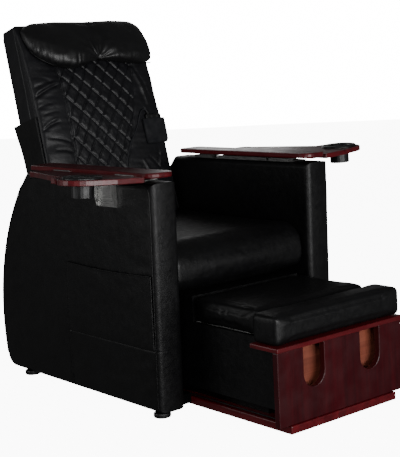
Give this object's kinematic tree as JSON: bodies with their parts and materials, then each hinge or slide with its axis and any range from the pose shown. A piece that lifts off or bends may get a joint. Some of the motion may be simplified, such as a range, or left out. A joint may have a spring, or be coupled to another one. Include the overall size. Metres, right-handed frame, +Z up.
{
  "type": "pedicure spa chair",
  "caption": "Upholstered pedicure spa chair with wooden armrests, lift-up side trays with cup holders, a reclining massage backrest and a pull-out footrest with a foot basin.",
  "frame": {"origin": "on the floor under the middle of the chair's bounding box", "axes": "+Z up, -Y the way the sitter faces, +X the sitter's left"},
  "size_m": [1.1176, 1.2412, 1.1186],
  "materials": {
    "leather": "black synthetic leather, satin",
    "quilted_leather": "black quilted synthetic leather, satin",
    "mahogany": "red mahogany lacquer, glossy",
    "raw_wood": "pale brown board, satin",
    "plywood": "bare plywood",
    "bright_steel": "bright zinc-plated steel",
    "dark_steel": "black painted steel",
    "plastic": "black moulded plastic",
    "rubber": "black rubber",
    "tub_plastic": "white acrylic",
    "pouch_mesh": "dark mesh fabric"
  },
  "bodies": {
    "chair_body": {"right_arm_cover": "leather", "right_arm_frame": "plywood", "right_side_pocket": "leather", "right_front_foot": "plastic", "right_rear_foot": "plastic", "right_armrest_board": "mahogany", "right_board_spacer": "bright_steel", "right_fixed_hinge_leaf": "bright_steel", "right_tray_bracket": "bright_steel", "left_arm_cover": "leather", "left_arm_frame": "plywood", "left_side_pocket": "leather", "left_front_foot": "plastic", "left_rear_foot": "plastic", "left_armrest_board": "mahogany", "left_board_spacer": "bright_steel", "left_fixed_hinge_leaf": "bright_steel", "left_tray_bracket": "bright_steel", "seat_frame": "dark_steel", "seat_deck": "plywood", "seat_cushion": "leather", "actuator_mount": "dark_steel", "rear_panel": "leather", "power_inlet": "plastic", "guide_rails": "dark_steel"},
    "right_tray_unit": {"right_tray": "mahogany", "right_tray_hinge_leaf": "bright_steel", "right_cup_holder": "plastic"},
    "left_tray_unit": {"left_tray": "mahogany", "left_tray_hinge_leaf": "bright_steel", "left_cup_holder": "plastic"},
    "backrest": {"back_frame": "dark_steel", "back_shell": "leather", "back_cushion": "quilted_leather", "head_pillow": "leather", "back_skirt": "leather", "massage_rails": "bright_steel", "remote_pouch": "pouch_mesh", "remote_control": "plastic", "remote_cord_clip": "plastic", "remote_cord": "rubber"},
    "massage_carriage": {"massage_carriage": "dark_steel", "massage_motor": "dark_steel"},
    "upper_rollers": {"massage_rollers_upper": "rubber"},
    "lower_rollers": {"massage_rollers_lower": "rubber"},
    "power_button": {"remote_power_button": "rubber"},
    "mode_button": {"remote_mode_button": "rubber"},
    "actuator_body": {"actuator_body": "plastic"},
    "actuator_rod": {"actuator_rod": "bright_steel"},
    "footrest": {"footrest_base": "mahogany", "footrest_front_panel": "mahogany", "footrest_backboard": "raw_wood", "footrest_shelf": "mahogany", "footrest_pad": "leather", "footrest_box": "leather", "foot_basin": "tub_plastic"},
    "footrest_lid": {"footrest_lid": "leather"},
    "front_wheels": {"footrest_wheels_front": "bright_steel"},
    "rear_wheels": {"footrest_wheels_rear": "bright_steel"}
  },
  "joints": [
    {"name": "backrest_recline", "type": "hinge", "parent": "chair_body", "child": "backrest", "pos_m": [0, 0.3834, 0.4], "axis": [-1, 0, 0], "range_deg": [0, 30]},
    {"name": "actuator_tilt", "type": "hinge", "parent": "chair_body", "child": "actuator_body", "pos_m": [0, 0.4484, 0.09], "axis": [1, 0, 0], "range_deg": [0, 8.52]},
    {"name": "actuator_stroke", "type": "slide", "parent": "actuator_body", "child": "actuator_rod", "axis": [0, -0.1521, -0.9884], "range_m": [0, 0.049]},
    {"name": "right_tray_lift", "type": "hinge", "parent": "chair_body", "child": "right_tray_unit", "pos_m": [-0.3447, -0.0016, 0.6655], "axis": [0, 1, 0], "range_deg": [0, 90]},
    {"name": "left_tray_lift", "type": "hinge", "parent": "chair_body", "child": "left_tray_unit", "pos_m": [0.3447, -0.0016, 0.6655], "axis": [0, -1, 0], "range_deg": [0, 90]},
    {"name": "footrest_slide", "type": "slide", "parent": "chair_body", "child": "footrest", "axis": [0, 1, 0], "range_m": [0, 0.34]},
    {"name": "lid_lift", "type": "hinge", "parent": "footrest", "child": "footrest_lid", "pos_m": [0, -0.5166, 0.314], "axis": [-1, 0, 0], "range_deg": [-100, 0]},
    {"name": "front_wheels_roll", "type": "hinge", "parent": "footrest", "child": "front_wheels", "pos_m": [0, -0.5516, 0.0105], "axis": [1, 0, 0], "continuous": true},
    {"name": "rear_wheels_roll", "type": "hinge", "parent": "footrest", "child": "rear_wheels", "pos_m": [0, -0.1316, 0.0105], "axis": [1, 0, 0], "continuous": true},
    {"name": "massage_travel", "type": "slide", "parent": "backrest", "child": "massage_carriage", "axis": [0, 0.247, 0.969], "range_m": [-0.165, 0.235]},
    {"name": "upper_rollers_turn", "type": "hinge", "parent": "massage_carriage", "child": "upper_rollers", "pos_m": [0, 0.48514, 0.74042], "axis": [1, 0, 0], "continuous": true},
    {"name": "lower_rollers_turn", "type": "hinge", "parent": "massage_carriage", "child": "lower_rollers", "pos_m": [0, 0.45797, 0.63383], "axis": [1, 0, 0], "continuous": true},
    {"name": "power_button_press", "type": "slide", "parent": "backrest", "child": "power_button", "axis": [0, 0.969, -0.247], "range_m": [0, 0.001], "stiffness_N_per_m": 300, "springref_m": -0.002},
    {"name": "mode_button_press", "type": "slide", "parent": "backrest", "child": "mode_button", "axis": [0, 0.969, -0.247], "range_m": [0, 0.001], "stiffness_N_per_m": 300, "springref_m": -0.002}
  ],
  "couplings": [
    {"joint": "actuator_tilt", "follows": "backrest_recline", "ratio": 0.2837},
    {"joint": "actuator_stroke", "follows": "backrest_recline", "m_per_rad": 0.0934}
  ]
}
